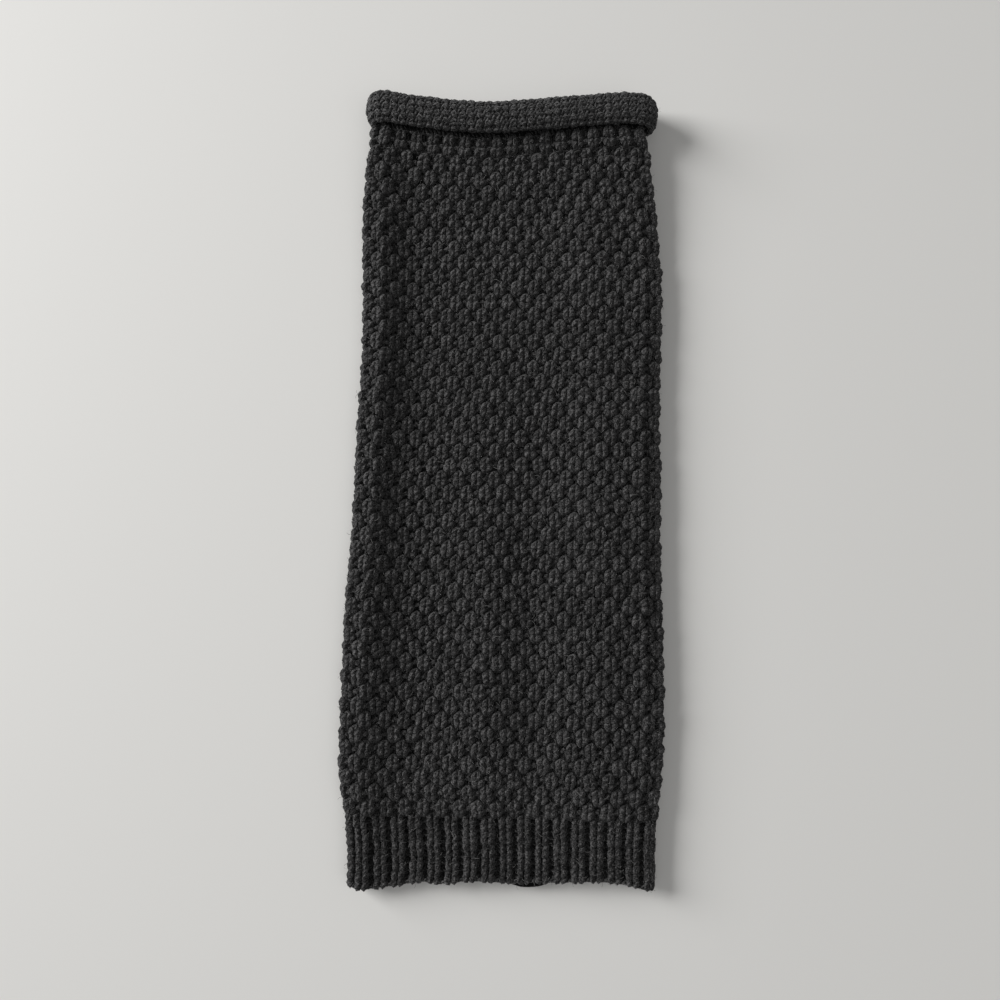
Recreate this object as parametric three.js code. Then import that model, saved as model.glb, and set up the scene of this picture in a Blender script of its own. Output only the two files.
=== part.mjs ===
import * as THREE from 'three';

// A knitted leg warmer laid flat, in millimetres, +Z up.
// Its length runs along Y, from the ribbed cuff at -Y to the rolled top edge at +Y.
// The back layer lies on the plane z = 0, with the front layer on it.
// The rows below give the outline that the flattened tube has at each place along its length:
// its two side edges, the height of its underside, and its thickness at the folds and between them.
const outlineRows = [
  { along: -196, left: -76.6, right: 72.6, underside: 0, foldHeight: 9.6, middleHeight: 8.1 },
  { along: -182, left: -75.5, right: 72.6, underside: 0, foldHeight: 9.6, middleHeight: 8.1 },
  { along: -168, left: -76.4, right: 73.0, underside: 0, foldHeight: 9.6, middleHeight: 8.1 },
  { along: -156, left: -78.2, right: 74.3, underside: 0, foldHeight: 9.4, middleHeight: 7.9 },
  { along: -144, left: -80.2, right: 75.8, underside: 0, foldHeight: 9.3, middleHeight: 7.4 },
  { along: -124, left: -80.5, right: 77.4, underside: 0, foldHeight: 9.2, middleHeight: 7.2 },
  { along: -96, left: -79.8, right: 77.9, underside: 0, foldHeight: 9.2, middleHeight: 7.2 },
  { along: -64, left: -78.8, right: 77.6, underside: 0, foldHeight: 9.2, middleHeight: 7.2 },
  { along: -32, left: -76.5, right: 77.4, underside: 0, foldHeight: 9.2, middleHeight: 7.2 },
  { along: 0, left: -74.9, right: 78.0, underside: 0, foldHeight: 9.2, middleHeight: 7.2 },
  { along: 32, left: -73.9, right: 77.9, underside: 0, foldHeight: 9.2, middleHeight: 7.2 },
  { along: 64, left: -72.2, right: 79.1, underside: 0, foldHeight: 9.2, middleHeight: 7.2 },
  { along: 96, left: -72.1, right: 80.0, underside: 0, foldHeight: 9.2, middleHeight: 7.2 },
  { along: 116, left: -72.4, right: 79.2, underside: 0.3, foldHeight: 9.1, middleHeight: 7.2 },
  { along: 134, left: -72.5, right: 77.8, underside: 1.5, foldHeight: 8.8, middleHeight: 7.1 },
  { along: 152, left: -71.0, right: 75.4, underside: 3.7, foldHeight: 8.2, middleHeight: 7.0 },
  { along: 164, left: -69.6, right: 74.1, underside: 5.3, foldHeight: 7.6, middleHeight: 6.9 },
  { along: 174, left: -67.8, right: 72.2, underside: 6.3, foldHeight: 6.8, middleHeight: 6.8 },
];

// Soft ridges and troughs of the front layer, each with its middle, its half size and its rise.
const softFolds = [
  { across: -62, along: 100, wide: 10, long: 75, rise: 1.9 },
  { across: -69, along: -55, wide: 12, long: 105, rise: 2.2 },
  { across: 52, along: 0, wide: 30, long: 178, rise: 3.0 },
  { across: 20, along: 0, wide: 48, long: 190, rise: 0.9 },
  { across: 47, along: -5, wide: 16, long: 165, rise: 1.3 },
  { across: -10, along: -60, wide: 13, long: 120, rise: 1.3 },
  { across: 14, along: -70, wide: 8, long: 115, rise: -0.6 },
  { across: -50, along: 20, wide: 9, long: 150, rise: -0.4 },
  { across: -65, along: 60, wide: 6, long: 125, rise: 0.9 },
  { across: -15, along: -82, wide: 42, long: 6, rise: -0.4 },
  { across: 30, along: 60, wide: 30, long: 7, rise: 0.3 },
  { across: -17, along: -184, wide: 8, long: 24, rise: 0.8 },
  { across: 0, along: -184, wide: 6, long: 24, rise: -0.9 },
  { across: 34, along: -184, wide: 12, long: 24, rise: 0.7 },
  { across: 61, along: -184, wide: 7, long: 24, rise: -0.7 },
];

// The rows of stitches bow: they rise to the folds at the top and hang lower in places at the hem.
const topRiseRows = [
  { across: -72, rise: 6.2 },
  { across: -60, rise: 5.8 },
  { across: -48, rise: 3.7 },
  { across: -12, rise: 0 },
  { across: 18, rise: 1.6 },
  { across: 48, rise: 4.1 },
  { across: 60, rise: 4.8 },
  { across: 70, rise: 4.2 },
  { across: 78, rise: 3.0 },
];
const hemRows = [
  { across: -77, rise: 0 },
  { across: -69, rise: -2.8 },
  { across: -52, rise: -1.6 },
  { across: -40, rise: 0.2 },
  { across: -30, rise: -0.8 },
  { across: -17, rise: 0.9 },
  { across: 2, rise: -0.4 },
  { across: 30, rise: 0.4 },
  { across: 46, rise: 0.6 },
  { across: 60, rise: -1.3 },
  { across: 68, rise: -3.1 },
  { across: 75, rise: -0.6 },
];

// Lines along the length where one knitted section ends and the next begins.
const topSeam = 173.8;
const cuffSeam = -160.8;
const hemLine = -191.3;
const seamTilt = -0.02; // the cuff's seam sinks this much for each millimetre to the right
const backHemDrop = { across: 12, wide: 8, drop: 2.2 }; // the back layer shows below the hem here
const seamGap = 0.3;

// Thickness of the cloth.
const legWall = 2.9;
const cuffBaseWall = 2.1;
const ribDepth = 1.5;
const frontRibs = 18; // ribs on the front half, from one side edge to the other
const ribsEnd = { under: -0.9, side: -0.3 }; // ribs fade where a fold's face turns this far down
const hemRound = 0.8;
const foldSettle = 17; // how far in from a fold the front layer comes down to its middle height
const foldShoulder = 7; // how far in from a fold its ridges and troughs reach their full size

// The top edge is a strip of stocking stitch that curls outwards into a scroll. The line of the
// scroll's middle is given by how far it lies along the length from the roll's centre, and how far
// out from the middle plane between the two layers.
const rollWall = 2.6;
const rollCentre = 9.35; // from the leg's top seam to the middle of the roll
const rollPlane = 9.7; // height of the plane between the front roll and the back roll
const rollLeft = -60.6;
const rollRight = 68.4; // where the roll starts to turn round each fold
const scrollLine = [
  { along: -8.9, out: 1.75 },
  { along: -3, out: 1.75 },
  { along: 2.5, out: 1.95 },
  { along: 6.6, out: 3.4 },
  { along: 7.6, out: 5.6 },
  { along: 5.2, out: 7.9 },
  { along: 0.4, out: 8.75 },
  { along: -4.6, out: 8.0 },
  { along: -7.3, out: 6.1 },
  { along: -4.9, out: 4.75 },
  { along: -1, out: 4.7 },
  { along: 2.6, out: 5.1 },
];

// How finely the faces follow the shape.
const legSteps = 27;
const legFoldStops = 6;
const legFrontStops = 20;
const legBackStops = 10;
const cuffSteps = 5;
const cuffBackStops = 12;
const ribCrowns = [0, 0.86, 1, 0.86]; // one rib: its furrow, rise, crown and fall
const scrollSteps = 19;
const rollStraightSteps = 14;
const rollTurnSteps = 8;

const charcoalKnit = (name, colour) => new THREE.MeshStandardMaterial({
  name,
  color: colour,
  roughness: 0.95,
  metalness: 0,
});

const clamp = THREE.MathUtils.clamp;
const smooth = (value, from, to) => THREE.MathUtils.smoothstep(value, from, to);

// A smooth curve through the rows of a table, read at one place.
function readRows(rows, placeKey, place, valueKey) {
  const last = rows.length - 1;
  const held = clamp(place, rows[0][placeKey], rows[last][placeKey]);
  let i = 0;
  while (i < last - 1 && held > rows[i + 1][placeKey]) i += 1;
  const slope = (k) => {
    const a = rows[Math.max(k - 1, 0)];
    const b = rows[Math.min(k + 1, last)];
    return (b[valueKey] - a[valueKey]) / (b[placeKey] - a[placeKey]);
  };
  const span = rows[i + 1][placeKey] - rows[i][placeKey];
  const t = (held - rows[i][placeKey]) / span;
  const t2 = t * t;
  const t3 = t2 * t;
  return (2 * t3 - 3 * t2 + 1) * rows[i][valueKey]
    + (t3 - 2 * t2 + t) * span * slope(i)
    + (3 * t2 - 2 * t3) * rows[i + 1][valueKey]
    + (t3 - t2) * span * slope(i + 1);
}

// The flattened tube's measures at one place along it.
function sectionAt(along) {
  const section = { along };
  for (const key of ['left', 'right', 'underside', 'foldHeight', 'middleHeight']) {
    section[key] = readRows(outlineRows, 'along', along, key);
  }
  section.underside = Math.max(section.underside, 0);
  return section;
}

// Height that the soft ridges and troughs add to the front layer.
function foldRise(across, along) {
  let rise = 0;
  for (const fold of softFolds) {
    const x = (across - fold.across) / fold.wide;
    const y = (along - fold.along) / fold.long;
    rise += fold.rise * Math.exp(-x * x - y ** 4);
  }
  return rise;
}

// A point on the section. Turn runs from 0 at the left edge over the front to 1 at the right edge,
// and on underneath to 2. Reach is the distance from the middle line of the fold, where the fold
// is round, and keeps the cloth's walls parallel everywhere else.
function pointOn(section, turn, reachOf) {
  const radius = section.foldHeight / 2;
  const quarter = radius * Math.PI / 2;
  const flat = section.right - section.left - section.foldHeight;
  const onFront = turn < 1;
  const run = (onFront ? turn : 2 - turn) * (flat + 2 * quarter);
  const fromLeft = clamp(run - quarter, 0, flat);
  const angle = (clamp(run, 0, quarter) + clamp(run - quarter - flat, 0, quarter)) / radius;
  const outX = -Math.cos(angle);
  const outZ = (onFront ? 1 : -1) * Math.sin(angle);
  const reach = reachOf(radius, outZ);
  const x = section.left + radius + fromLeft + reach * outX;
  let z = section.underside + radius + reach * outZ;
  if (onFront) {
    const fromFold = Math.min(fromLeft, flat - fromLeft);
    z += smooth(fromFold, 0, foldSettle) * (section.middleHeight - section.foldHeight);
    z += smooth(fromFold, 0, foldShoulder) * foldRise(x, section.along);
  }
  return { x, z, onFront };
}

// How far the rows of stitches have moved along the length, from their straight place.
function rowShift(x, along, onFront) {
  const top = readRows(topRiseRows, 'across', x, 'rise') * smooth(along, topSeam - 70, topSeam);
  const cuff = seamTilt * x * smooth(-along, 60, -cuffSeam) * smooth(-hemLine + along, 0, 20);
  const nearHem = smooth(-along, -hemLine - 14, -hemLine);
  let hem = readRows(hemRows, 'across', x, 'rise');
  if (!onFront) {
    const away = (x - backHemDrop.across) / backHemDrop.wide;
    hem -= backHemDrop.drop * Math.exp(-(away ** 4));
  }
  return top + cuff + hem * nearHem;
}

// Joins rings of points into one closed skin that wraps round in both directions.
function closedSkin(rings) {
  const around = rings[0].length;
  const positions = [];
  for (const ring of rings) {
    for (const point of ring) positions.push(point.x, point.y, point.z);
  }
  const index = [];
  for (let i = 0; i < rings.length; i += 1) {
    const next = (i + 1) % rings.length;
    for (let j = 0; j < around; j += 1) {
      const k = (j + 1) % around;
      const a = i * around + j;
      const b = i * around + k;
      const c = next * around + k;
      const d = next * around + j;
      index.push(a, b, c, a, c, d);
    }
  }
  const geometry = new THREE.BufferGeometry();
  geometry.setAttribute('position', new THREE.Float32BufferAttribute(positions, 3));
  geometry.setIndex(index);
  geometry.computeVertexNormals();
  return geometry;
}

// One ring of a tube's outer or inner face.
function tubeRing(along, stops, reachFor) {
  const section = sectionAt(along);
  return stops.map((stop) => {
    const point = pointOn(section, stop.turn, (radius, outZ) => reachFor(radius, outZ, stop));
    const y = along + rowShift(point.x, along, point.onFront);
    return new THREE.Vector3(point.x, y, point.z);
  });
}

// A flattened tube of cloth from one line along the length to another, open at both ends.
function tubeWall(from, to, steps, stops, outerReach, innerReach, roundAt = 0) {
  const rings = [];
  for (let i = 0; i <= steps; i += 1) {
    rings.push(tubeRing(THREE.MathUtils.lerp(from, to, i / steps), stops, outerReach));
  }
  for (let i = steps; i >= 0; i -= 1) {
    rings.push(tubeRing(THREE.MathUtils.lerp(from, to, i / steps), stops, innerReach));
  }
  if (roundAt > 0) {
    const middle = (radius, outZ, stop) => (outerReach(radius, outZ, stop)
      + innerReach(radius, outZ, stop)) / 2;
    rings.push(tubeRing(from - roundAt, stops, middle));
  }
  return closedSkin(rings);
}

// Stops round the leg, close together at the folds and further apart between them.
function legStops() {
  const radius = sectionAt(0).foldHeight / 2;
  const flat = sectionAt(0).right - sectionAt(0).left - 2 * radius;
  const quarter = radius * Math.PI / 2;
  const edge = quarter / (flat + 2 * quarter);
  const turns = [];
  const half = legFoldStops / 2;
  for (let i = 0; i < half; i += 1) turns.push(edge * i / half);
  for (let i = 0; i < legFrontStops; i += 1) {
    turns.push(edge + (1 - 2 * edge) * i / legFrontStops);
  }
  for (let i = 0; i < legFoldStops; i += 1) {
    turns.push(1 - edge + 2 * edge * i / legFoldStops);
  }
  for (let i = 0; i < legBackStops; i += 1) {
    turns.push(1 + edge + (1 - 2 * edge) * i / legBackStops);
  }
  for (let i = 0; i < half; i += 1) turns.push(2 - edge + edge * i / half);
  return turns.map((turn) => ({ turn }));
}

// Stops round the cuff: every rib on the front, one more round each fold, and none underneath.
function cuffStops() {
  const inRib = ribCrowns.length;
  const onFront = frontRibs * inRib;
  const stops = [];
  for (let i = 0; i < onFront + inRib; i += 1) {
    stops.push({ turn: i / onFront, crown: ribCrowns[i % inRib] });
  }
  const flatStops = onFront - 2 * inRib;
  for (let i = 0; i < cuffBackStops; i += 1) {
    stops.push({ turn: 1 + (inRib + flatStops * i / cuffBackStops) / onFront, crown: 0 });
  }
  for (let i = 0; i < inRib; i += 1) {
    stops.push({ turn: 2 - (inRib - i) / onFront, crown: ribCrowns[i] });
  }
  return stops;
}

function legGeometry() {
  const outer = (radius) => radius;
  const inner = (radius) => radius - legWall;
  const from = cuffSeam + seamGap / 2;
  return tubeWall(from, topSeam, legSteps, legStops(), outer, inner);
}

// The ribs stand out from a plain inner face. Underneath, the cuff rests flat on its ribs' crowns.
function cuffGeometry() {
  const outer = (radius, outZ, stop) => {
    const standing = smooth(outZ, ribsEnd.under, ribsEnd.side);
    return radius - ribDepth * (1 - stop.crown) * standing;
  };
  const inner = (radius) => radius - cuffBaseWall - ribDepth;
  const to = cuffSeam - seamGap / 2;
  return tubeWall(hemLine, to, cuffSteps, cuffStops(), outer, inner, hemRound);
}

// The outline of the scroll: one side of its strip out, and the other side back.
function scrollOutline() {
  const curve = new THREE.SplineCurve(scrollLine.map((row) => new THREE.Vector2(row.along, row.out)));
  const outside = [];
  const inside = [];
  for (let i = 0; i <= scrollSteps; i += 1) {
    const t = i / scrollSteps;
    const middle = curve.getPointAt(t);
    const way = curve.getTangentAt(t);
    const side = new THREE.Vector2(way.y, -way.x).multiplyScalar(rollWall / 2);
    outside.push(middle.clone().add(side));
    inside.push(middle.clone().sub(side));
  }
  return outside.concat(inside.reverse());
}

// Stops along the roll: over the front, round the right fold, back underneath, round the left fold.
function rollStops() {
  const stops = [];
  const width = rollRight - rollLeft;
  for (let i = 0; i < rollStraightSteps; i += 1) {
    stops.push({ x: rollLeft + width * i / rollStraightSteps, angle: Math.PI / 2 });
  }
  for (let i = 0; i < rollTurnSteps; i += 1) {
    stops.push({ x: rollRight, angle: Math.PI / 2 - Math.PI * i / rollTurnSteps });
  }
  for (let i = 0; i < rollStraightSteps; i += 1) {
    stops.push({ x: rollRight - width * i / rollStraightSteps, angle: -Math.PI / 2 });
  }
  for (let i = 0; i < rollTurnSteps; i += 1) {
    stops.push({ x: rollLeft, angle: -Math.PI / 2 - Math.PI * i / rollTurnSteps });
  }
  return stops;
}

function rollGeometry() {
  const outline = scrollOutline();
  const rings = rollStops().map((stop) => outline.map((point) => {
    const x = stop.x + point.y * Math.cos(stop.angle);
    const z = Math.max(rollPlane + point.y * Math.sin(stop.angle), 0);
    const centre = topSeam + rollCentre + readRows(topRiseRows, 'across', x, 'rise');
    return new THREE.Vector3(x, centre + point.x, z);
  }));
  return closedSkin(rings);
}

function namedMesh(name, geometry, colour) {
  const mesh = new THREE.Mesh(geometry, charcoalKnit(name, colour));
  mesh.name = name;
  return mesh;
}

const legWarmer = new THREE.Group();
legWarmer.name = 'leg_warmer';
legWarmer.add(
  namedMesh('rolled_edge', rollGeometry(), 0x2d2d2d),
  namedMesh('leg', legGeometry(), 0x282727),
  namedMesh('ribbed_cuff', cuffGeometry(), 0x242424),
);

export default legWarmer;
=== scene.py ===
# A knitted leg warmer laid flat: a double moss stitch leg, a 1x1 ribbed cuff and a rolled top edge.
# Its yarn is modelled stitch by stitch over a thin ground of cloth, on the form of the solids.
import math

import bpy
import numpy as np
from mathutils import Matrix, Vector


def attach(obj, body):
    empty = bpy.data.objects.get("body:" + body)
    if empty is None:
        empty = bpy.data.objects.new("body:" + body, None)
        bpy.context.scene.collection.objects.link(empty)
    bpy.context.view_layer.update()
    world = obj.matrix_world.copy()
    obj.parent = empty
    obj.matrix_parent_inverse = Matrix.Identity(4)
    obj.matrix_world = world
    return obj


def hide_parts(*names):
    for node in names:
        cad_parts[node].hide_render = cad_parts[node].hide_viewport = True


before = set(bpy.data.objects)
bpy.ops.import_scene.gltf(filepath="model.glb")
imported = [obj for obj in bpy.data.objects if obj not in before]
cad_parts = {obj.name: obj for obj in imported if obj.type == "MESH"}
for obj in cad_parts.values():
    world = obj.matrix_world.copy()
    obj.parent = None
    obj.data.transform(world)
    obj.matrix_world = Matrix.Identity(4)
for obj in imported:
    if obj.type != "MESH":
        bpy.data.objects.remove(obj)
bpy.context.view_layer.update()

mm = 0.001
body = "root"
print("frame loaded:", sorted(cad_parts))


# The flattened tube in millimetres, with the sizes that the solids have.
outline = {
    "along": [-196, -182, -168, -156, -144, -124, -96, -64, -32,
              0, 32, 64, 96, 116, 134, 152, 164, 174],
    "left": [-76.6, -75.5, -76.4, -78.2, -80.2, -80.5, -79.8, -78.8, -76.5,
             -74.9, -73.9, -72.2, -72.1, -72.4, -72.5, -71.0, -69.6, -67.8],
    "right": [72.6, 72.6, 73.0, 74.3, 75.8, 77.4, 77.9, 77.6, 77.4,
              78.0, 77.9, 79.1, 80.0, 79.2, 77.8, 75.4, 74.1, 72.2],
    "underside": [0, 0, 0, 0, 0, 0, 0, 0, 0,
                  0, 0, 0, 0, 0.3, 1.5, 3.7, 5.3, 6.3],
    "foldHeight": [9.6, 9.6, 9.6, 9.4, 9.3, 9.2, 9.2, 9.2, 9.2,
                   9.2, 9.2, 9.2, 9.2, 9.1, 8.8, 8.2, 7.6, 6.8],
    "middleHeight": [8.1, 8.1, 8.1, 7.9, 7.4, 7.2, 7.2, 7.2, 7.2,
                     7.2, 7.2, 7.2, 7.2, 7.2, 7.1, 7.0, 6.9, 6.8],
}
softFolds = [
    {"across": -62, "along": 100, "wide": 10, "long": 75, "rise": 1.9},
    {"across": -69, "along": -55, "wide": 12, "long": 105, "rise": 2.2},
    {"across": 52, "along": 0, "wide": 30, "long": 178, "rise": 3.0},
    {"across": 20, "along": 0, "wide": 48, "long": 190, "rise": 0.9},
    {"across": 47, "along": -5, "wide": 16, "long": 165, "rise": 1.3},
    {"across": -10, "along": -60, "wide": 13, "long": 120, "rise": 1.3},
    {"across": 14, "along": -70, "wide": 8, "long": 115, "rise": -0.6},
    {"across": -50, "along": 20, "wide": 9, "long": 150, "rise": -0.4},
    {"across": -65, "along": 60, "wide": 6, "long": 125, "rise": 0.9},
    {"across": -15, "along": -82, "wide": 42, "long": 6, "rise": -0.4},
    {"across": 30, "along": 60, "wide": 30, "long": 7, "rise": 0.3},
    {"across": -17, "along": -184, "wide": 8, "long": 24, "rise": 0.8},
    {"across": 0, "along": -184, "wide": 6, "long": 24, "rise": -0.9},
    {"across": 34, "along": -184, "wide": 12, "long": 24, "rise": 0.7},
    {"across": 61, "along": -184, "wide": 7, "long": 24, "rise": -0.7},
]
# Softer creases over the solid's own: a long hollow beside the left ridge, and three near the middle.
creases = [
    {"across": -42, "along": 10, "wide": 15, "long": 175, "rise": -1.0},
    {"across": -8, "along": -95, "wide": 9, "long": 60, "rise": 0.9},
    {"across": 12, "along": -85, "wide": 8, "long": 75, "rise": -0.5},
    {"across": 6, "along": 60, "wide": 14, "long": 80, "rise": 0.5},
]
topRise = {
    "across": [-72, -60, -48, -12, 18, 48, 60, 70, 78],
    "rise": [6.2, 5.8, 3.7, 0, 1.6, 4.1, 4.8, 4.2, 3.0],
}
hem = {
    "across": [-77, -69, -52, -40, -30, -17, 2, 30, 46, 60, 68, 75],
    "rise": [0, -2.8, -1.6, 0.2, -0.8, 0.9, -0.4, 0.4, 0.6, -1.3, -3.1, -0.6],
}
lines = {
    "topSeam": 173.8,
    "cuffSeam": -160.8,
    "hemLine": -191.3,
    "topRiseOver": 70,  # the length below the top seam over which the rows come to its curve
    "hemRiseOver": 14,  # the length above the hem over which they come to the hem's curve
    "seamTilt": -0.02,  # of the cuff's seam, in height for width
    "tiltFrom": -60,  # where the rows start to tilt as the cuff's seam does
    "tiltLostOver": 20,  # the length above the hem over which they lie straight again
    "backHemAcross": 12,  # where the back layer's hem comes out below the front's
    "backHemWide": 8,
    "backHemDrop": 2.2,
    "foldSettle": 17,  # from a fold to where the front layer has the height of the middle
    "foldShoulder": 7,  # from a fold to where the ridges and creases have their full rise
}
scroll = {
    "along": [-8.9, -3, 2.5, 6.6, 7.6, 5.2, 0.4, -4.6, -7.3, -4.9, -1, 2.6],
    "out": [1.75, 1.75, 1.95, 3.4, 5.6, 7.9, 8.75, 8.0, 6.1, 4.75, 4.7, 5.1],
    "steps": 40,  # of the curve, from each of these points to the next
    "pathPoints": 400,
    "centre": 9.35,  # from the leg's top seam to the middle of the roll
    "plane": 9.7,  # height of the plane between the front roll and the back roll
    "left": -60.6,
    "right": 68.4,
    "turnRadius": 7.8,  # where the stitches keep their width as the roll turns round a fold
}


def smoothStep(value, low, high):
    t = np.clip((value - low) / (high - low), 0, 1)
    return t * t * (3 - 2 * t)


# A smooth curve through a table's columns, read at many places.
def readTable(table, place, column, at="along"):
    places, values = np.array(table[at], float), np.array(table[column], float)
    slopes = np.empty_like(values)
    slopes[1:-1] = (values[2:] - values[:-2]) / (places[2:] - places[:-2])
    slopes[0] = (values[1] - values[0]) / (places[1] - places[0])
    slopes[-1] = (values[-1] - values[-2]) / (places[-1] - places[-2])
    held = np.clip(place, places[0], places[-1])
    i = np.clip(np.searchsorted(places, held, side="right") - 1, 0, len(places) - 2)
    span = places[i + 1] - places[i]
    t = (held - places[i]) / span
    return (
        (2 * t**3 - 3 * t**2 + 1) * values[i]
        + (t**3 - 2 * t**2 + t) * span * slopes[i]
        + (3 * t**2 - 2 * t**3) * values[i + 1]
        + (t**3 - t**2) * span * slopes[i + 1]
    )


def foldRise(across, along):
    rise = np.zeros(np.broadcast(across, along).shape)
    for fold in softFolds + creases:
        x = (across - fold["across"]) / fold["wide"]
        y = (along - fold["along"]) / fold["long"]
        rise += fold["rise"] * np.exp(-x * x - y**4)
    return rise


# How far the rows of stitches have moved along the length from their straight place.
def rowShift(x, along, onFront):
    topSeam, cuffSeam, hemLine = lines["topSeam"], lines["cuffSeam"], lines["hemLine"]
    toTop = smoothStep(along, topSeam - lines["topRiseOver"], topSeam)
    toCuff = smoothStep(-along, -lines["tiltFrom"], -cuffSeam)
    fromHem = smoothStep(along - hemLine, 0, lines["tiltLostOver"])
    toHem = smoothStep(-along, -hemLine - lines["hemRiseOver"], -hemLine)
    top = readTable(topRise, x, "rise", "across") * toTop
    cuff = lines["seamTilt"] * x * toCuff * fromHem
    away = (x - lines["backHemAcross"]) / lines["backHemWide"]
    edge = readTable(hem, x, "rise", "across")
    edge = edge - np.where(onFront, 0, lines["backHemDrop"] * np.exp(-(away**4)))
    return top + cuff + edge * toHem


# Points of the flattened tube. Turn is 0 at the left edge, 1 at the right edge and 2 back at the left.
def tubePoints(turn, along, inward):
    turn = np.mod(turn, 2)
    left, right = readTable(outline, along, "left"), readTable(outline, along, "right")
    foldHeight = readTable(outline, along, "foldHeight")
    radius = foldHeight / 2
    quarter = radius * math.pi / 2
    flat = right - left - foldHeight
    onFront = turn < 1
    run = np.where(onFront, turn, 2 - turn) * (flat + 2 * quarter)
    fromLeft = np.clip(run - quarter, 0, flat)
    angle = (np.clip(run, 0, quarter) + np.clip(run - quarter - flat, 0, quarter)) / radius
    outZ = np.where(onFront, 1, -1) * np.sin(angle)
    reach = radius - inward
    x = left + radius + fromLeft - reach * np.cos(angle)
    z = np.maximum(readTable(outline, along, "underside"), 0) + radius + reach * outZ
    fromFold = np.minimum(fromLeft, flat - fromLeft)
    middleHeight = readTable(outline, along, "middleHeight")
    drop = smoothStep(fromFold, 0, lines["foldSettle"]) * (middleHeight - foldHeight)
    wave = smoothStep(fromFold, 0, lines["foldShoulder"]) * foldRise(x, along)
    z = z + np.where(onFront, drop + wave, 0)
    return np.stack([x, along + rowShift(x, along, onFront), z], -1)


# The line of the scroll, as evenly spaced points with their outward side.
def scrollPath():
    points = np.column_stack([scroll["along"], scroll["out"]]).astype(float)
    padded = np.vstack([points[0], points, points[-1]])
    t = np.linspace(0, 1, scroll["steps"], endpoint=False)[:, None]
    pieces = []
    for a, b, c, d in zip(padded, padded[1:], padded[2:], padded[3:]):
        square, cube = 2 * a - 5 * b + 4 * c - d, 3 * b - a - 3 * c + d
        pieces.append(0.5 * (2 * b + (c - a) * t + square * t**2 + cube * t**3))
    fine = np.vstack([*pieces, points[-1:]])
    run = np.concatenate([[0], np.cumsum(np.linalg.norm(np.diff(fine, axis=0), axis=1))])
    even = np.linspace(0, run[-1], scroll["pathPoints"])
    line = np.column_stack([np.interp(even, run, fine[:, k]) for k in range(2)])
    way = np.gradient(line, axis=0)
    way /= np.linalg.norm(way, axis=1)[:, None]
    return even, line, np.column_stack([way[:, 1], -way[:, 0]])


scrollRun, scrollMiddle, scrollSide = scrollPath()


# Points of the roll. Turn goes round the opening as on the tube, and run goes along the scroll.
def rollPoints(turn, run, outward):
    turn = np.mod(turn, 2)
    along, out = (
        np.interp(run, scrollRun, scrollMiddle[:, k]) + outward * np.interp(run, scrollRun, scrollSide[:, k])
        for k in range(2)
    )
    onFront = turn < 1
    quarter = scroll["turnRadius"] * math.pi / 2
    flat = scroll["right"] - scroll["left"]
    way = np.where(onFront, turn, 2 - turn) * (flat + 2 * quarter)
    fromLeft = np.clip(way - quarter, 0, flat)
    bent = np.clip(way, 0, quarter) + np.clip(way - quarter - flat, 0, quarter)
    angle = bent / scroll["turnRadius"]
    x = scroll["left"] + fromLeft - out * np.cos(angle)
    z = scroll["plane"] + np.where(onFront, 1, -1) * out * np.sin(angle)
    y = lines["topSeam"] + scroll["centre"] + readTable(topRise, x, "rise", "across") + along
    return np.stack([x, y, z], -1)


# Yarn. A course is one closed round of loops. The face of a stitch is 1 where its legs stand in
# front of the loop that they come through, as a knit stitch, and -1 behind it, as a purl stitch.
yarn = {
    "stitchesRound": 72,
    "pointsOnFront": 12,
    "pointsUnderneath": 6,
    "sides": 5,
    "stitchWidth": 4.3,
    "loopReach": 0.6,  # of a row, that a loop reaches up and down from its row's middle
    "nubBase": 0.6,  # taken off a nub's round profile, so that its ends are thinner and lie deeper
    "unevenAcross": 0.17,  # millimetres that a stitch strays, one way or the other
    "unevenAlong": 0.21,
    "unevenOut": 0.14,
    "unevenWidth": 0.08,  # share of the yarn's thickness
    "seed": 11,
}
rng = np.random.default_rng(yarn["seed"])
# Half a loop from the middle of its head to its foot, as shares of a stitch from its middle line.
loopShapes = {
    "share": [0, 0.17, 0.33, 0.5, 0.67, 0.83, 1],
    "moss lower": [0, 0.24, 0.36, 0.31, 0.18, 0.16, 0.6],
    "moss upper": [0, 0.14, 0.24, 0.3, 0.28, 0.24, 0.6],
    "moss purl": [0, 0.22, 0.3, 0.23, 0.16, 0.19, 0.4],
    "rib knit": [0, 0.27, 0.41, 0.38, 0.3, 0.24, 0.6],
    "rib purl": [0, 0.13, 0.15, 0.12, 0.1, 0.14, 0.34],
    "plain": [0, 0.24, 0.34, 0.27, 0.2, 0.26, 0.5],
}


def mossFace(stitch, row):
    return np.where((stitch + row // 2) % 2 == 1, 1, -1)


def ribFace(stitch, row):
    return np.where(stitch % 2 == 0, 1, -1)


def rollFace(stitch, row):
    return np.full(np.broadcast(stitch, row).shape, -1)


# Where the points of one course lie: which stitch each is in, and how far round its loop.
def courseSamples():
    stitch, loop = [], []
    for i in range(yarn["stitchesRound"]):
        onFront = i < yarn["stitchesRound"] // 2
        count = yarn["pointsOnFront"] if onFront else yarn["pointsUnderneath"]
        stitch += [i] * count
        loop += list(np.linspace(-math.pi, math.pi, count, endpoint=False))
    return np.array(stitch), np.array(loop)


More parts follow.
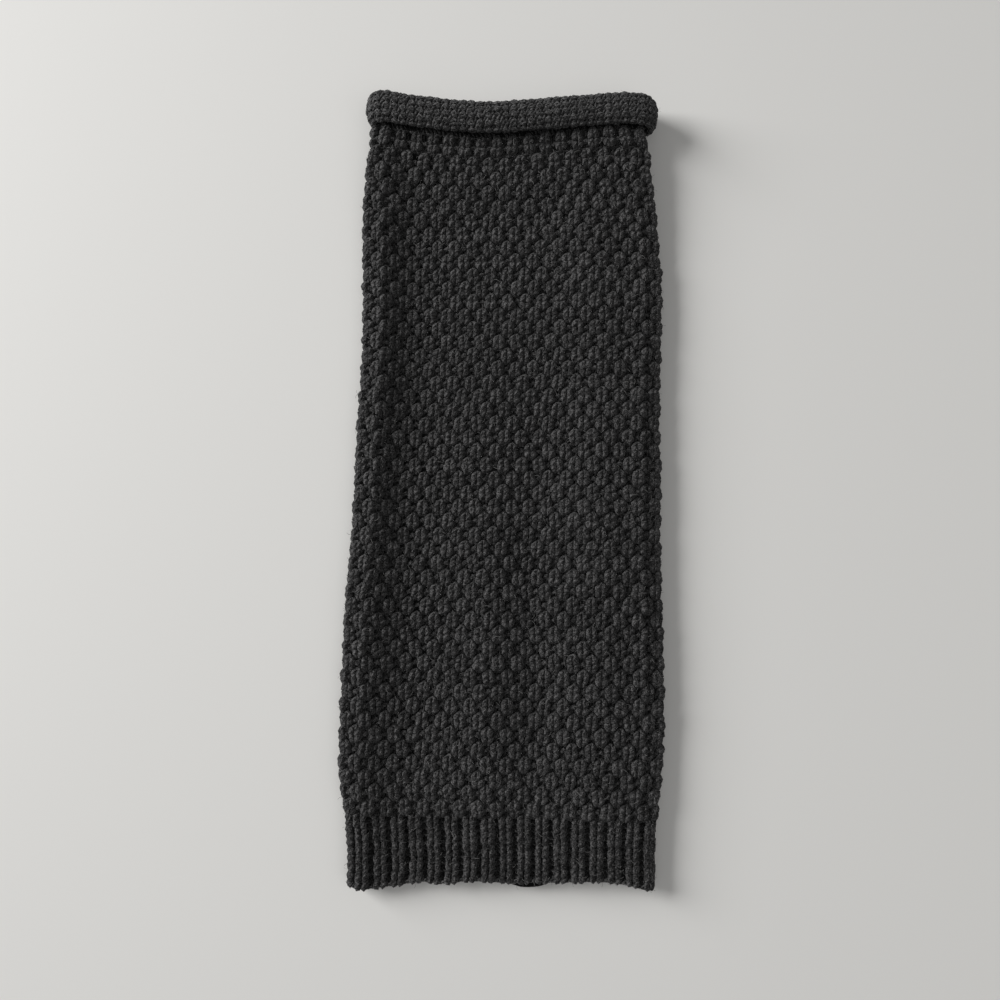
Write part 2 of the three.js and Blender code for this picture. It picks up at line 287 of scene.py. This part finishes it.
# The loops of some courses: their place round the tube in stitches, along it in rows, how far they
# reach up or down from there in millimetres, how far out of the cloth's middle, and their thickness.
def loopCourses(rows, face, knit):
    stitch, loop = courseSamples()
    stitch, loop, row = stitch[None, :], loop[None, :], np.array(rows)[:, None]
    here, above = face(stitch, row), face(stitch, row + 1)
    beside = np.where(loop < 0, face(stitch - 1, row), face(stitch + 1, row))
    foot = ((1 - np.cos(loop)) / 2) ** knit["footPower"]
    head = ((1 + np.cos(loop)) / 2) ** knit["headPower"]
    legs = 1 - foot - head
    headBack = np.where(above < 0, above * knit["headOut"], above)
    crossing = here * legs - headBack * head - (here + beside) / 2 * foot
    standing = here * legs + (here + above) / 2 * head + (here + beside) / 2 * foot
    outward = knit["crossing"] * crossing + knit["standing"] * standing
    outward = np.where(outward < 0, knit["innerShare"] * outward, outward)
    share = np.abs(loop) / math.pi + 0 * row
    lower, upper, purl = (readTable(loopShapes, share, key, "share") for key in knit["shapes"])
    half = np.where(here > 0, np.where(row % 2 == 0, lower, upper), purl)
    inNub = np.clip((row % 2 + 0.5 + yarn["loopReach"] * np.cos(loop)) / 2, 0, 1)
    nub = np.where(here > 0, np.sin(math.pi * inNub) - yarn["nubBase"], 0) * (1 - foot)
    outward = outward + knit["nubOut"] * nub
    across = stitch + 0.5 + np.sign(loop) * half + knit["skew"] * np.cos(loop)
    thick = 1 + knit["swell"] * here * legs - knit["thinHead"] * head - knit["thinFoot"] * foot
    shape = (len(rows), yarn["stitchesRound"])
    strays = [rng.normal(0, 1, shape)[:, stitch[0]] * (1 - foot) for _ in range(4)]
    across = across + strays[0] * yarn["unevenAcross"] / yarn["stitchWidth"]
    reach = knit["loopHeight"] * np.cos(loop) + strays[1] * yarn["unevenAlong"]
    outward = outward + strays[2] * yarn["unevenOut"]
    thick = thick * (1 + strays[3] * yarn["unevenWidth"]) * (1 + knit["nubThick"] * nub)
    return across, row + 0.5 + 0 * loop, reach, outward, thick


# Adds one node to a tree, with its settings, its inputs' values and its links.
def addNode(tree, kind, settings=None, values=None, links=None):
    made = tree.nodes.new(kind)
    for key, value in (settings or {}).items():
        setattr(made, key, value)
    for key, value in (values or {}).items():
        made.inputs[key].default_value = value
    for key, source in (links or {}).items():
        tree.links.new(source, made.inputs[key])
    return made


# Starts a tree that takes a shape and some named inputs, and returns it with their sockets.
def startTree(name, inputs):
    tree = bpy.data.node_groups.new(name, "GeometryNodeTree")
    face = tree.interface
    face.new_socket("Geometry", in_out="INPUT", socket_type="NodeSocketGeometry")
    for label, kind in inputs.items():
        face.new_socket(label, in_out="INPUT", socket_type="NodeSocket" + kind)
    face.new_socket("Geometry", in_out="OUTPUT", socket_type="NodeSocketGeometry")
    return tree, addNode(tree, "NodeGroupInput").outputs


# Ends a tree: what it made becomes one mesh, and gets its material.
def endTree(tree, geometry, material):
    whole = addNode(tree, "GeometryNodeRealizeInstances", links={"Geometry": geometry})
    painted = addNode(
        tree, "GeometryNodeSetMaterial",
        links={"Geometry": whole.outputs["Geometry"], "Material": material},
    )
    addNode(tree, "NodeGroupOutput", links={"Geometry": painted.outputs["Geometry"]})
    return tree


# A tree that gives each round of yarn its thickness, and stores how far along and round it a point is.
def yarnTree():
    tree, given = startTree("yarn round", {"Yarn radius": "Float", "Sides": "Int", "Yarn": "Material"})
    curve = addNode(tree, "GeometryNodeMeshToCurve", links={"Mesh": given["Geometry"]})
    along = addNode(tree, "GeometryNodeSplineParameter")
    stored = addNode(
        tree, "GeometryNodeStoreNamedAttribute",
        {"data_type": "FLOAT", "domain": "POINT"},
        {"Name": "yarnRun"},
        {"Geometry": curve.outputs["Curve"], "Value": along.outputs["Length"]},
    )
    ring = addNode(
        tree, "GeometryNodeCurvePrimitiveCircle",
        links={"Resolution": given["Sides"], "Radius": given["Yarn radius"]},
    )
    place = addNode(tree, "GeometryNodeInputPosition")
    unit = addNode(tree, "ShaderNodeVectorMath", {"operation": "NORMALIZE"}, links={0: place.outputs[0]})
    marked = addNode(
        tree, "GeometryNodeStoreNamedAttribute",
        {"data_type": "FLOAT_VECTOR", "domain": "POINT"},
        {"Name": "yarnSide"},
        {"Geometry": ring.outputs["Curve"], "Value": unit.outputs[0]},
    )
    thick = addNode(tree, "GeometryNodeInputNamedAttribute", {"data_type": "FLOAT"}, {"Name": "yarnThick"})
    tube = addNode(
        tree, "GeometryNodeCurveToMesh",
        links={
            "Curve": stored.outputs["Geometry"],
            "Profile Curve": marked.outputs["Geometry"],
            "Scale": thick.outputs["Attribute"],
        },
    )
    soft = addNode(tree, "GeometryNodeSetShadeSmooth", links={"Geometry": tube.outputs["Mesh"]})
    return endTree(tree, soft.outputs["Geometry"], given["Yarn"])


# Runs a tree on a piece with its named inputs, and keeps the result as a plain mesh.
def applyTree(piece, tree, inputs):
    modifier = piece.modifiers.new("shape", "NODES")
    modifier.node_group = tree
    sockets = {s.name: s.identifier for s in tree.interface.items_tree if s.in_out == "INPUT"}
    for name, value in inputs.items():
        modifier[sockets[name]] = value
    deps = bpy.context.evaluated_depsgraph_get()
    deps.update()
    mesh = bpy.data.meshes.new_from_object(
        piece.evaluated_get(deps), preserve_all_data_layers=True, depsgraph=deps
    )
    piece.modifiers.clear()
    piece.data = mesh
    mesh.name = piece.name


def addObject(name, data):
    made = bpy.data.objects.new(name, data)
    bpy.context.scene.collection.objects.link(made)
    return made


def countTriangles(piece):
    print(piece.name, "triangles", sum(len(p.vertices) - 2 for p in piece.data.polygons))


# Materials
def hexColour(text):
    parts = [int(text[k:k + 2], 16) / 255 for k in (1, 3, 5)]
    linear = [c / 12.92 if c <= 0.04045 else ((c + 0.055) / 1.055) ** 2.4 for c in parts]
    return (*linear, 1)


# A new material whose shader has these values, with its tree and its shader.
def newMaterial(name, values):
    made = bpy.data.materials.new(name)
    made.use_nodes = True
    shader = made.node_tree.nodes["Principled BSDF"]
    for key, value in values.items():
        shader.inputs[key].default_value = value
    return made, made.node_tree, shader


wool = {
    "moss": ("#1c1c1c", "#525151"),  # the darkest and the lightest of the yarn's surface
    "rib": ("#121212", "#4c4b4b"),
    "roll": ("#303030", "#6c6b6b"),
    "deepShade": 0.38,  # painted shade: share of the colour that is left where yarn lies deepest in the cloth
    "deepest": -0.9,  # millimetres from the cloth's middle, where the painted shade is darkest
    "highest": 1.2,  # where the painted shade ends and the colour is whole
    "roughness": 0.9,
    "specular": 0.25,
    "sheen": 0.1,
    "sheenRoughness": 0.4,
    "plyPitch": 6.6,  # millimetres of yarn to one twist of its three plies
    "plyDepth": 0.5,
    "plyStrength": 0.8,
    "plyGrooveShade": 0.45,  # painted shade: share of the colour that is left in the grooves between the plies
    "grooveEnd": 0.2,  # how far up a ply its painted shade reaches, where -1 is the lowest point between two plies and 1 the top
    "fibreSize": 0.65,  # millimetres, drawn coarser than real fibres so that it shows
    "fibreDepth": 0.6,
    "fibreStrength": 0.7,
    "fibreRange": (0.42, 0.6),  # the part of the noise in which dark goes over to light
}


# Three-ply wool blend yarn, dyed charcoal and softly twisted: matt, with grooves between its plies
# and a fibrous surface that catches a little light at its edges.
# Its colour carries painted shade: darker in the grooves between the plies and where the yarn lies lowest in
# the cloth.
def yarnMaterial(name, dark, light):
    made, tree, shader = newMaterial(name, {
        "Roughness": wool["roughness"], "Specular IOR Level": wool["specular"],
        "Sheen Weight": wool["sheen"], "Sheen Roughness": wool["sheenRoughness"],
    })
    run = addNode(tree, "ShaderNodeAttribute", {"attribute_name": "yarnRun"})
    side = addNode(tree, "ShaderNodeAttribute", {"attribute_name": "yarnSide"})
    turns = addNode(
        tree, "ShaderNodeMath", {"operation": "MULTIPLY"},
        {1: 2 * math.pi / (wool["plyPitch"] * mm)}, {0: run.outputs["Fac"]},
    )
    cosine = addNode(tree, "ShaderNodeMath", {"operation": "COSINE"}, links={0: turns.outputs[0]})
    sine = addNode(tree, "ShaderNodeMath", {"operation": "SINE"}, links={0: turns.outputs[0]})
    way = addNode(tree, "ShaderNodeCombineXYZ", links={"X": cosine.outputs[0], "Y": sine.outputs[0]})
    # The cosine of three times the angle round the yarn, as 4 c^3 - 3 c, has a top for each ply.
    facing = addNode(
        tree, "ShaderNodeVectorMath", {"operation": "DOT_PRODUCT"},
        links={0: way.outputs[0], 1: side.outputs["Vector"]},
    )
    square = addNode(
        tree, "ShaderNodeMath", {"operation": "MULTIPLY"},
        links={0: facing.outputs["Value"], 1: facing.outputs["Value"]},
    )
    inner = addNode(
        tree, "ShaderNodeMath", {"operation": "MULTIPLY_ADD"}, {1: 4, 2: -3}, {0: square.outputs[0]},
    )
    plies = addNode(
        tree, "ShaderNodeMath", {"operation": "MULTIPLY"},
        links={0: inner.outputs[0], 1: facing.outputs["Value"]},
    )
    place = addNode(tree, "ShaderNodeTexCoord")
    fibres = addNode(
        tree, "ShaderNodeTexNoise", {}, {"Scale": 1 / (wool["fibreSize"] * mm)},
        {"Vector": place.outputs["Object"]},
    )
    colour = addNode(tree, "ShaderNodeValToRGB", links={"Fac": fibres.outputs["Fac"]})
    for stop, at, tone in zip(colour.color_ramp.elements, wool["fibreRange"], (dark, light)):
        stop.position = at
        stop.color = hexColour(tone)
    # Painted shade: the colour darkens where the yarn lies lowest in the cloth, by its height out of the
    # cloth's middle.
    height = addNode(tree, "ShaderNodeAttribute", {"attribute_name": "yarnOut"})
    depthShade = addNode(
        tree, "ShaderNodeMapRange", {"interpolation_type": "SMOOTHSTEP"},
        {"From Min": wool["deepest"], "From Max": wool["highest"], "To Min": wool["deepShade"], "To Max": 1},
        {"Value": height.outputs["Fac"]},
    )
    # Painted shade: the colour darkens in the grooves between the plies.
    grooveShade = addNode(
        tree, "ShaderNodeMapRange", {},
        {"From Min": -1, "From Max": wool["grooveEnd"], "To Min": wool["plyGrooveShade"], "To Max": 1},
        {"Value": plies.outputs[0]},
    )
    # The two painted shades together, multiplied into the yarn's colour.
    shade = addNode(
        tree, "ShaderNodeMath", {"operation": "MULTIPLY"},
        links={0: depthShade.outputs["Result"], 1: grooveShade.outputs["Result"]},
    )
    # Inputs 6 and 7 of a Mix node are its two colours, and its output 2 is their mix.
    shaded = addNode(
        tree, "ShaderNodeMix", {"data_type": "RGBA", "blend_type": "MULTIPLY"}, {"Factor": 1},
        {6: colour.outputs["Color"], 7: shade.outputs[0]},
    )
    twist = addNode(
        tree, "ShaderNodeBump", {},
        {"Strength": wool["plyStrength"], "Distance": wool["plyDepth"] * mm},
        {"Height": plies.outputs[0]},
    )
    fuzz = addNode(
        tree, "ShaderNodeBump", {},
        {"Strength": wool["fibreStrength"], "Distance": wool["fibreDepth"] * mm},
        {"Height": fibres.outputs["Fac"], "Normal": twist.outputs["Normal"]},
    )
    tree.links.new(shaded.outputs[2], shader.inputs["Base Color"])
    tree.links.new(fuzz.outputs["Normal"], shader.inputs["Normal"])
    return made


# The inner side's colours are painted shade, near black and far darker than the yarn's.
shadedInnerSide = {
    "dark": "#080808",
    "light": "#0e0e0e",
    "mottleSize": 1.2,  # millimetres, less than half the yarn's width
    "mottleDetail": 3,
    "reliefDepth": 0.3,
    "reliefStrength": 0.6,
    "roughness": 0.95,
    "specular": 0.15,
}


# The inside of the cloth as it shows between the stitches: the same wool in painted shade, coloured near
# black.
def groundMaterial(name):
    made, tree, shader = newMaterial(name, {
        "Roughness": shadedInnerSide["roughness"], "Specular IOR Level": shadedInnerSide["specular"],
    })
    place = addNode(tree, "ShaderNodeTexCoord")
    mottle = addNode(
        tree, "ShaderNodeTexNoise", {},
        {"Scale": 1 / (shadedInnerSide["mottleSize"] * mm), "Detail": shadedInnerSide["mottleDetail"]},
        {"Vector": place.outputs["Object"]},
    )
    colour = addNode(tree, "ShaderNodeValToRGB", links={"Fac": mottle.outputs["Fac"]})
    colour.color_ramp.elements[0].color = hexColour(shadedInnerSide["dark"])
    colour.color_ramp.elements[1].color = hexColour(shadedInnerSide["light"])
    relief = addNode(
        tree, "ShaderNodeBump", {},
        {"Strength": shadedInnerSide["reliefStrength"], "Distance": shadedInnerSide["reliefDepth"] * mm},
        {"Height": mottle.outputs["Fac"]},
    )
    tree.links.new(colour.outputs["Color"], shader.inputs["Base Color"])
    tree.links.new(relief.outputs["Normal"], shader.inputs["Normal"])
    return made


# Loose fibres that stand out of the yarn: short bent hairs, closed at both ends.
fibre = {
    "dark": "#3a3a3a",
    "light": "#8a8987",
    "shadeSize": 5,  # millimetres of cloth from dark fibres to light ones
    "shadeDetail": 1,
    "roughness": 0.6,
    "specular": 0.3,
    "length": 2.4,
    "bend": 0.75,
    "bendShares": (-0.2, 1.4, 0.5),  # of the bend, at the root, at the middle and at the tip
    "radius": 0.06,
    "segments": 2,
    "sides": 3,
    "lowestOut": 0.4,  # only yarn that lies this far out of the cloth's middle has fibres that show
    "lowestFacing": -0.2,  # and of it what faces up or sideways, by the height of its normal
    "leastTurn": (-0.4, -0.5, 0),  # radians about the fibre's own axes
    "mostTurn": (0.4, 0.3, 2 * math.pi),
    "leastSize": 0.45,
    "mostSize": 1.3,
    "perSquareCm": {"leg": 3.6, "cuff": 6, "roll": 11},
    "seed": {"leg": 21, "cuff": 31, "roll": 41},
}


# Single fibres of the same wool, standing free: paler than the yarn, because light passes through.
def fibreMaterial(name):
    made, tree, shader = newMaterial(name, {
        "Roughness": fibre["roughness"], "Specular IOR Level": fibre["specular"],
    })
    place = addNode(tree, "ShaderNodeTexCoord")
    shade = addNode(
        tree, "ShaderNodeTexNoise", {},
        {"Scale": 1 / (fibre["shadeSize"] * mm), "Detail": fibre["shadeDetail"]},
        {"Vector": place.outputs["Object"]},
    )
    colour = addNode(tree, "ShaderNodeValToRGB", links={"Fac": shade.outputs["Fac"]})
    colour.color_ramp.elements[0].color = hexColour(fibre["dark"])
    colour.color_ramp.elements[1].color = hexColour(fibre["light"])
    tree.links.new(colour.outputs["Color"], shader.inputs["Base Color"])
    return made


def fibreTree():
    tree, given = startTree("loose fibres", {"Density": "Float", "Seed": "Int", "Fibre": "Material"})
    out = addNode(tree, "GeometryNodeInputNamedAttribute", {"data_type": "FLOAT"}, {"Name": "yarnOut"})
    outer = addNode(
        tree, "FunctionNodeCompare", {"data_type": "FLOAT", "operation": "GREATER_THAN"},
        {"B": fibre["lowestOut"]}, {"A": out.outputs["Attribute"]},
    )
    normal = addNode(tree, "GeometryNodeInputNormal")
    facing = addNode(tree, "ShaderNodeSeparateXYZ", links={0: normal.outputs["Normal"]})
    upper = addNode(
        tree, "FunctionNodeCompare", {"data_type": "FLOAT", "operation": "GREATER_THAN"},
        {"B": fibre["lowestFacing"]}, {"A": facing.outputs["Z"]},
    )
    chosen = addNode(
        tree, "FunctionNodeBooleanMath", {"operation": "AND"},
        links={0: outer.outputs["Result"], 1: upper.outputs["Result"]},
    )
    roots = addNode(
        tree, "GeometryNodeDistributePointsOnFaces", {"distribute_method": "RANDOM"},
        links={
            "Mesh": given["Geometry"], "Selection": chosen.outputs[0],
            "Density": given["Density"], "Seed": given["Seed"],
        },
    )
    length, bend = fibre["length"] * mm, fibre["bend"] * mm
    root, middle, tip = (share * bend for share in fibre["bendShares"])
    hair = addNode(
        tree, "GeometryNodeCurveQuadraticBezier", {},
        {"Resolution": fibre["segments"], "Start": (0, 0, root), "Middle": (length / 2, 0, middle),
         "End": (length, 0, tip)},
    )
    ring = addNode(
        tree, "GeometryNodeCurvePrimitiveCircle", {},
        {"Resolution": fibre["sides"], "Radius": fibre["radius"] * mm},
    )
    strand = addNode(
        tree, "GeometryNodeCurveToMesh", {}, {"Fill Caps": True},
        {"Curve": hair.outputs["Curve"], "Profile Curve": ring.outputs["Curve"]},
    )
    # A Random Value node's inputs 0 and 1 are its limits for a vector, and 2 and 3 those for a number.
    turn = addNode(
        tree, "FunctionNodeRandomValue", {"data_type": "FLOAT_VECTOR"},
        {0: fibre["leastTurn"], 1: fibre["mostTurn"]}, {"Seed": given["Seed"]},
    )
    rotated = addNode(
        tree, "FunctionNodeRotateRotation", {"rotation_space": "LOCAL"},
        links={0: roots.outputs["Rotation"], 1: turn.outputs[0]},
    )
    size = addNode(
        tree, "FunctionNodeRandomValue", {"data_type": "FLOAT"},
        {2: fibre["leastSize"], 3: fibre["mostSize"]}, {"Seed": given["Seed"]},
    )
    hairs = addNode(
        tree, "GeometryNodeInstanceOnPoints",
        links={
            "Points": roots.outputs["Points"], "Instance": strand.outputs["Mesh"],
            "Rotation": rotated.outputs[0], "Scale": size.outputs[1],
        },
    )
    return endTree(tree, hairs.outputs["Instances"], given["Fibre"])


mossYarn = yarnMaterial("charcoal wool, moss stitch", *wool["moss"])
ribYarn = yarnMaterial("charcoal wool, rib", *wool["rib"])
rollYarn = yarnMaterial("charcoal wool, stocking stitch", *wool["roll"])
fibreHair = fibreMaterial("charcoal wool, loose fibres")
ground = groundMaterial("charcoal wool, inner side in painted shade")
yarnRound = yarnTree()
looseHairs = fibreTree()
print("materials made")


# Closed rounds of points become yarn, with the thickness that is given at each point. None of it
# goes below the surface that the tube lies on.
def yarnPiece(name, rounds, thick, outward, radius, material):
    rounds[..., 2] = np.maximum(rounds[..., 2], radius * thick)
    count = rounds.shape[1]
    points = rounds.reshape(-1, 3) * mm
    starts = np.arange(rounds.shape[0])[:, None] * count
    k = np.arange(count)[None, :]
    edges = np.stack([starts + k, starts + (k + 1) % count], -1).reshape(-1, 2)
    mesh = bpy.data.meshes.new(name)
    mesh.vertices.add(len(points))
    mesh.vertices.foreach_set("co", points.astype(np.float32).ravel())
    mesh.edges.add(len(edges))
    mesh.edges.foreach_set("vertices", edges.astype(np.int32).ravel())
    for label, values in (("yarnThick", thick), ("yarnOut", outward)):
        stored = mesh.attributes.new(label, "FLOAT", "POINT")
        stored.data.foreach_set("value", values.astype(np.float32).ravel())
    mesh.update()
    piece = addObject(name, mesh)
    applyTree(piece, yarnRound, {"Yarn radius": radius * mm, "Sides": yarn["sides"], "Yarn": material})
    return piece


# One piece of loose fibres for a section, grown on copies of its yarn.
def looseFibres(section, pieces):
    name = section + "_fibres"
    density = fibre["perSquareCm"][section] * 1e4  # in a square metre
    made = []
    for k, piece in enumerate(pieces):
        coat = addObject(f"{name}_{k + 1}", piece.data.copy())
        seed = fibre["seed"][section] + k
        applyTree(coat, looseHairs, {"Density": density, "Seed": seed, "Fibre": fibreHair})
        made.append(coat)
    with bpy.context.temp_override(active_object=made[0], selected_editable_objects=made):
        bpy.ops.object.join()
    coat = made[0]
    coat.name = coat.data.name = name
    places = np.empty(3 * len(coat.data.vertices), np.float32)
    coat.data.vertices.foreach_get("co", places)
    places[2::3] = np.maximum(places[2::3], 0)
    coat.data.vertices.foreach_set("co", places)
    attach(coat, body)
    countTriangles(coat)
    return coat


# Splits a knitted section's courses into pieces and makes each one's yarn.
def knitSection(name, knit, face, place, material):
    made = []
    for k, rows in enumerate(np.array_split(np.arange(knit["rows"]), knit["pieces"])):
        across, row, reach, outward, thick = loopCourses(rows, face, knit)
        points = place(across / (yarn["stitchesRound"] / 2), row, reach, outward)
        label = f"{name}_{k + 1}" if knit["pieces"] > 1 else name
        piece = yarnPiece(label, points, thick, outward, knit["radius"], material)
        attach(piece, body)
        made.append(piece)
        countTriangles(piece)
    return made


cloth = {"thickness": 0.5, "around": 96}


# The ground of a section: a thin closed wall all round the tube, between two depths in the cloth.
def groundCloth(name, place, along, depths):
    turns = np.linspace(0, 2, cloth["around"], endpoint=False)
    turn, ring = np.meshgrid(turns, along)
    outer, inner = (place(turn, ring, depthShade) for depthShade in depths)
    wall = np.concatenate([outer, inner[::-1]])
    count, points = wall.shape[:2]
    i, j = np.meshgrid(np.arange(count), np.arange(points), indexing="ij")
    ahead, beside = (i + 1) % count, (j + 1) % points
    corners = [i * points + j, i * points + beside, ahead * points + beside, ahead * points + j]
    faces = np.stack(corners, -1).reshape(-1, 4)
    mesh = bpy.data.meshes.new(name)
    mesh.from_pydata((wall.reshape(-1, 3) * mm).tolist(), [], faces.tolist())
    mesh.polygons.foreach_set("use_smooth", [True] * len(mesh.polygons))
    mesh.materials.append(ground)
    mesh.update()
    piece = addObject(name, mesh)
    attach(piece, body)
    return piece


# The leg: double moss stitch, two rows of knit and purl and then two rows the other way round.
leg = {
    "rows": 96,
    "pieces": 4,
    "shapes": ("moss lower", "moss upper", "moss purl"),
    "radius": 1.48,
    "crossing": 0.65,
    "standing": 0.4,
    "innerShare": 0.6,  # the inside of the cloth is flatter than its outside
    "headOut": 1.3,  # how far the head of a loop stands out in front of a purl stitch
    "footPower": 4,
    "headPower": 3,
    "swell": 0.24,  # the legs of knit stitches are fuller than the legs of purl stitches
    "thinHead": 0.12,
    "thinFoot": 0.25,
    "loopHeight": 2.1,
    "skew": 0.03,  # share of a stitch that the heads lean to the right and the feet to the left
    "nubOut": 0.42,  # two knit rows make one round nub, thickest and furthest out at its middle
    "nubThick": 0.5,
    "wallMiddle": 2.5,  # from the outer face to the middle of the cloth
    "groundAt": 3.7,
    "groundRings": 60,
    "stretchedRows": 3,  # under the roll, where the rows are pulled long
    "stretch": 1.35,
    "stem": 2,  # how much further the last row's loops reach, to pass under the roll
}


# How far up the leg a row lies.
def legRows(row):
    plain = leg["rows"] - leg["stretchedRows"]
    height = (lines["topSeam"] - lines["cuffSeam"]) / (plain + leg["stretchedRows"] * leg["stretch"])
    stretched = leg["stretch"] * np.maximum(row - plain, 0)
    return lines["cuffSeam"] + height * (np.minimum(row, plain) + stretched)


def placeOnLeg(turn, row, reach, outward):
    stem = np.where(row > leg["rows"] - 1, leg["stem"], 1)
    along = legRows(row) + np.maximum(reach, 0) * stem + np.minimum(reach, 0)
    return tubePoints(turn, along, leg["wallMiddle"] - outward)


legPieces = knitSection("leg_stitches", leg, mossFace, placeOnLeg, mossYarn)
legPieces.append(looseFibres("leg", legPieces))
legCloth = groundCloth(
    "leg_cloth", tubePoints,
    np.linspace(lines["cuffSeam"], lines["topSeam"], leg["groundRings"]),
    (leg["groundAt"], leg["groundAt"] + cloth["thickness"]),
)
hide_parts("leg")
print("leg made")


# The cuff: 1x1 rib, with knit columns standing in front of the purl columns.
cuff = {
    "rows": 10,
    "pieces": 1,
    "shapes": ("rib knit", "rib knit", "rib purl"),
    "radius": 1.7,
    "crossing": 0.95,
    "standing": 0.75,
    "innerShare": 0.75,
    "headOut": -0.3,
    "footPower": 3,
    "headPower": 3,
    "swell": 0.16,
    "thinHead": 0.2,
    "thinFoot": 0.35,
    "loopHeight": 2.0,
    "skew": 0.03,
    "nubOut": 0,
    "nubThick": 0,
    "wallMiddle": 3.1,
    "groundAt": 4.4,
    "groundRings": 12,
    "lowest": 0.3,  # of a row, where the first loops turn round above the hem
}
cuff["rowHeight"] = (lines["cuffSeam"] - lines["hemLine"]) / cuff["rows"]


def placeOnCuff(turn, row, reach, outward):
    along = np.maximum(cuff["rowHeight"] * row + reach, cuff["lowest"] * cuff["rowHeight"])
    return tubePoints(turn, along + lines["hemLine"], cuff["wallMiddle"] - outward)


cuffPieces = knitSection("cuff_stitches", cuff, ribFace, placeOnCuff, ribYarn)

# The cast-on edge: two strands twisted round each other under the first row, a turn for each stitch.
castOn = {
    "radius": 0.6,
    "offset": 0.55,  # of each strand from the middle of the two
    "rise": 1.2,  # of their middle over the hem's line
    "below": 2.4,  # from the outer face to their middle
    "pointsInTurn": 8,
}


def castOnEdge():
    count = yarn["stitchesRound"] * castOn["pointsInTurn"]
    place = np.arange(count) / castOn["pointsInTurn"]
    strands = []
    for start in (0, math.pi):
        angle = 2 * math.pi * place + start
        along = lines["hemLine"] + castOn["rise"] + castOn["offset"] * np.sin(angle)
        inward = castOn["below"] - castOn["offset"] * np.cos(angle)
        strands.append(tubePoints(place / (yarn["stitchesRound"] / 2), along, inward))
    points = np.stack(strands)
    same = np.ones(points.shape[:2])
    piece = yarnPiece("cast_on_edge", points, same, same, castOn["radius"], rollYarn)
    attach(piece, body)
    return piece


cuffPieces.append(castOnEdge())
cuffPieces.append(looseFibres("cuff", cuffPieces))
cuffCloth = groundCloth(
    "cuff_cloth", tubePoints,
    np.linspace(lines["hemLine"], lines["cuffSeam"], cuff["groundRings"]),
    (cuff["groundAt"], cuff["groundAt"] + cloth["thickness"]),
)
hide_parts("ribbed_cuff")
print("cuff made")


# The rolled edge: stocking stitch with its purl side out, curled into a scroll.
roll = {
    "rows": 13,
    "pieces": 1,
    "shapes": ("plain", "plain", "plain"),
    "radius": 0.92,
    "crossing": 0.25,
    "standing": 0.0,
    "innerShare": 1,
    "headOut": 1,
    "footPower": 3,
    "headPower": 3,
    "swell": 0,
    "thinHead": 0,
    "thinFoot": 0,
    "loopHeight": 2.5,
    "skew": -0.3,
    "nubOut": 0,
    "nubThick": 0,
    "groundAt": 0.75,
    "groundRings": 44,
}
roll["rowHeight"] = scrollRun[-1] / roll["rows"]


def placeOnRoll(turn, row, reach, outward):
    return rollPoints(turn, roll["rowHeight"] * row + reach, outward)


rollPieces = knitSection("roll_stitches", roll, rollFace, placeOnRoll, rollYarn)
rollPieces.append(looseFibres("roll", rollPieces))
rollCloth = groundCloth(
    "roll_cloth", rollPoints,
    np.linspace(0, scrollRun[-1], roll["groundRings"]),
    (-roll["groundAt"] + cloth["thickness"], -roll["groundAt"]),
)
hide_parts("rolled_edge")
print("roll made")


# Studio, in metres: a pale floor, a large soft key light from the left and a weak fill.
studio = {
    "floorSize": 3.0,
    "floorColour": "#d9d8d5",
    "floorRoughness": 0.8,
    "worldStrength": 0.22,
    "keyStrength": 100,
    "keySize": 1.3,
    "keyAt": (-2.2, 0.9, 1.02),
    "fillStrength": 3,
    "fillSize": 1.2,
    "fillAt": (0.6, -0.4, 1.1),
}


def floorPlane():
    half = studio["floorSize"] / 2
    mesh = bpy.data.meshes.new("floor")
    corners = [(-half, -half, 0), (half, -half, 0), (half, half, 0), (-half, half, 0)]
    mesh.from_pydata(corners, [], [(0, 1, 2, 3)])
    floor = addObject("floor", mesh)
    paint, _, _ = newMaterial("floor", {
        "Base Color": hexColour(studio["floorColour"]), "Roughness": studio["floorRoughness"],
    })
    mesh.materials.append(paint)


# A light that looks at the middle of the floor.
def areaLight(name, place, size, strength):
    data = bpy.data.lights.new(name, "AREA")
    data.energy, data.size = strength, size
    light = addObject(name, data)
    light.location = place
    light.rotation_euler = (-Vector(place)).to_track_quat("-Z", "Y").to_euler()


floorPlane()
areaLight("key", studio["keyAt"], studio["keySize"], studio["keyStrength"])
areaLight("fill", studio["fillAt"], studio["fillSize"], studio["fillStrength"])
world = bpy.data.worlds.new("studio")
world.use_nodes = True
sky = world.node_tree.nodes["Background"]
sky.inputs["Color"].default_value = (1, 1, 1, 1)
sky.inputs["Strength"].default_value = studio["worldStrength"]
bpy.context.scene.world = world
bpy.context.scene.view_settings.view_transform = "Standard"


# Camera: almost straight above, leaning a little towards the cuff, close as a hand holds a phone.
view = {
    "centre": (-2.25, -8.35, 0),
    "distance": 397,
    "lean": 4.7,  # degrees from straight down
    "focalShare": 0.7913,  # of the picture's width
    "sensor": 36,
    "clipStart": 10,
}
lean = math.radians(view["lean"])
camera = addObject("camera", bpy.data.cameras.new("camera"))
camera.data.sensor_width = view["sensor"]
camera.data.lens = view["sensor"] * view["focalShare"]
camera.data.clip_start = view["clipStart"] * mm
away = Vector((0, -math.sin(lean), math.cos(lean))) * view["distance"] * mm
camera.location = Vector(view["centre"]) * mm + away
camera.rotation_euler = (lean, 0, 0)
bpy.context.scene.camera = camera
print("studio and camera made")
